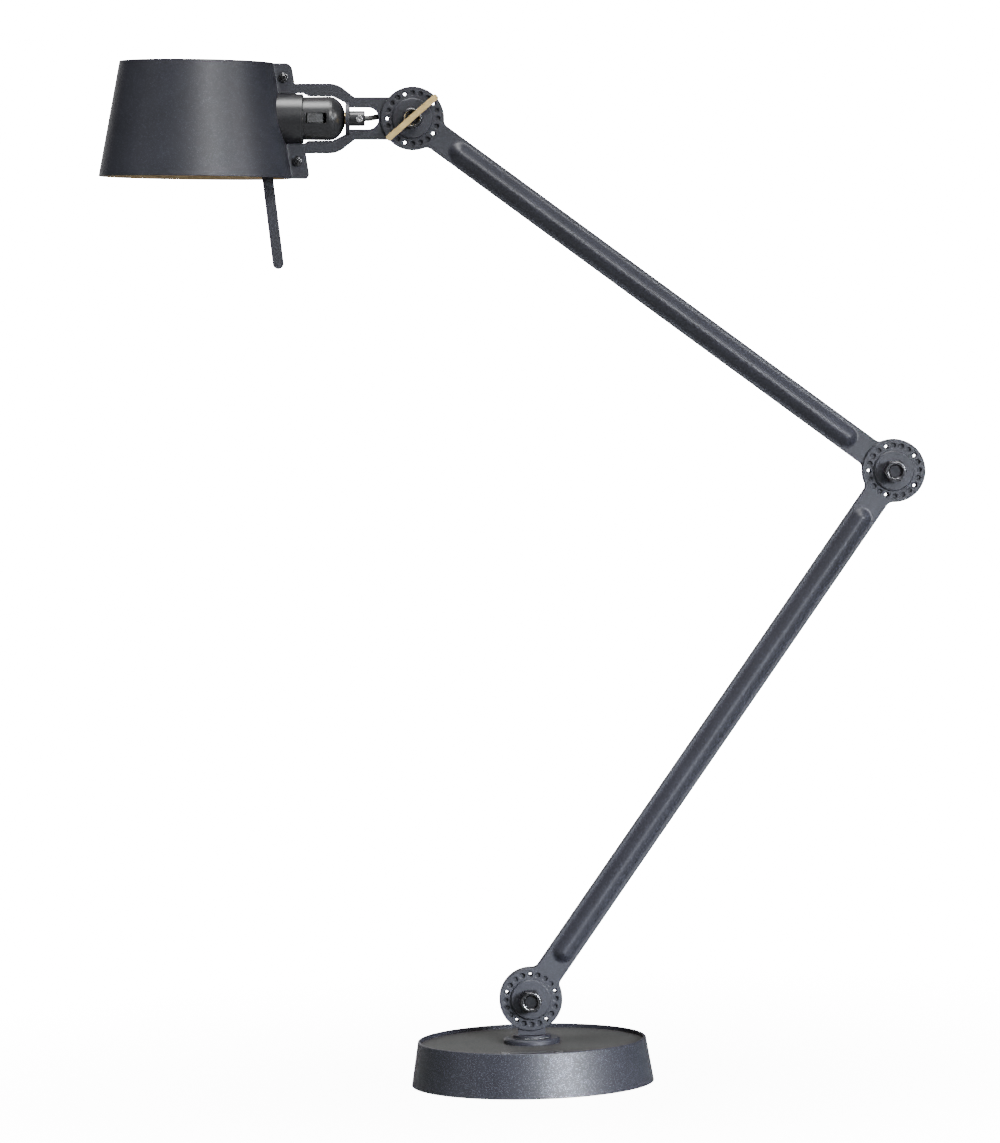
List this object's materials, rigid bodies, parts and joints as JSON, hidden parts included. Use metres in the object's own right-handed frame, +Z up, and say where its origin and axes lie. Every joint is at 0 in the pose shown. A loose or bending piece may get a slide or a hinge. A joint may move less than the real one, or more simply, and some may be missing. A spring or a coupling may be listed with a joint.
{
  "type": "architect desk lamp",
  "caption": "Two-arm architect desk lamp with a weighted conical base, index-hole disc joints, brass clamp bar and a truncated-cone shade on a forked plate.",
  "frame": {"origin": "centre of the base's underside, on the table", "axes": "+Z up, -Y the front with the nuts and the switch; the arms lie in the XZ plane with the elbow towards +X and the shade towards -X"},
  "size_m": [0.6706, 0.2013, 0.848],
  "materials": {
    "charcoal_powder": "fine textured powder coat, charcoal with a faint blue cast and small sparkling flecks",
    "top_plate_matte": "flat matte warm dark grey",
    "ballast_iron": "raw cast, lightly oiled",
    "pad_rubber": "matte black",
    "bright_steel": "zinc-plated, satin",
    "blackened_steel": "blackened, worn bright on the chamfers",
    "badge_alloy": "satin anodised, plain, no lettering",
    "nylon": "natural nylon",
    "black_plastic": "semi-gloss moulded thermoplastic",
    "lead_sheath": "smooth black sheath",
    "brass_bar": "satin pale brass, edges bevelled",
    "socket_insulator": "glazed off-white insulator",
    "socket_brass": "bright brass",
    "bulb_cap_metal": "bright screw shell",
    "bulb_glass": "opal frosted"
  },
  "bodies": {
    "base": {"base_shell": "charcoal_powder", "base_top_plate": "top_plate_matte", "base_ballast": "ballast_iron", "base_bottom_plate": "charcoal_powder", "base_pad": "pad_rubber", "base_screws": "bright_steel", "badge_plate": "badge_alloy", "badge_rivets": "blackened_steel", "cable_gland": "black_plastic", "base_lead": "lead_sheath", "swivel_flange": "charcoal_powder", "flange_screws": "bright_steel"},
    "swivel": {"knuckle": "charcoal_powder", "thrust_washer": "nylon", "swivel_washer": "bright_steel", "swivel_nut": "bright_steel", "knuckle_bush": "bright_steel", "knuckle_lead": "lead_sheath"},
    "lower_arm": {"lower_arm_front": "charcoal_powder", "lower_arm_rear": "charcoal_powder", "base_joint_bolt": "blackened_steel", "base_joint_nut": "blackened_steel", "elbow_bolt": "blackened_steel", "elbow_nut": "blackened_steel", "lower_arm_washers": "charcoal_powder", "lower_friction_washers": "nylon", "lower_arm_lead": "lead_sheath"},
    "upper_arm": {"upper_arm_front": "charcoal_powder", "upper_arm_rear": "charcoal_powder", "elbow_bush": "bright_steel", "upper_arm_lead": "lead_sheath", "head_joint_bolt": "blackened_steel", "head_joint_washer": "charcoal_powder", "lead_spool": "charcoal_powder", "upper_friction_washers": "nylon"},
    "clamp_handle": {"clamp_nut": "blackened_steel", "clamp_bar": "brass_bar"},
    "head": {"head_plate": "charcoal_powder", "shade": "charcoal_powder", "shade_top": "charcoal_powder", "shade_bolts": "blackened_steel", "shade_nuts": "blackened_steel", "aim_handle": "charcoal_powder", "handle_rivets": "blackened_steel", "holder_bracket": "charcoal_powder", "holder_skirt": "black_plastic", "holder_cap": "black_plastic", "socket_core": "socket_insulator", "socket_contacts": "socket_brass", "holder_nipple": "socket_brass", "cord_grip": "black_plastic", "cord_grip_screw": "bright_steel", "head_lead": "lead_sheath", "bulb_cap": "bulb_cap_metal", "bulb_glass": "bulb_glass"},
    "rocker": {"switch_rocker": "black_plastic"}
  },
  "joints": [
    {"name": "base_swivel", "type": "hinge", "parent": "base", "child": "swivel", "pos_m": [0, 0, 0.04], "axis": [0, 0, 1], "range_deg": [-170, 170]},
    {"name": "base_tilt", "type": "hinge", "parent": "swivel", "child": "lower_arm", "pos_m": [0, 0, 0.07], "axis": [0, -1, 0], "range_deg": [-34, 60]},
    {"name": "elbow", "type": "hinge", "parent": "lower_arm", "child": "upper_arm", "pos_m": [0.30827, 0, 0.49743], "axis": [0, 1, 0], "range_deg": [-48, 88]},
    {"name": "head_tilt", "type": "hinge", "parent": "upper_arm", "child": "head", "pos_m": [-0.07837, 0, 0.79518], "axis": [0, -1, 0], "range_deg": [-70, 80]},
    {"name": "clamp_turn", "type": "hinge", "parent": "upper_arm", "child": "clamp_handle", "pos_m": [-0.07837, 0, 0.79518], "axis": [0, -1, 0], "range_deg": [0, 180]},
    {"name": "switch_rock", "type": "hinge", "parent": "head", "child": "rocker", "pos_m": [-0.15664, -0.0152, 0.79709], "axis": [0.0244, 0, 0.9997], "range_deg": [-16, 0]}
  ]
}
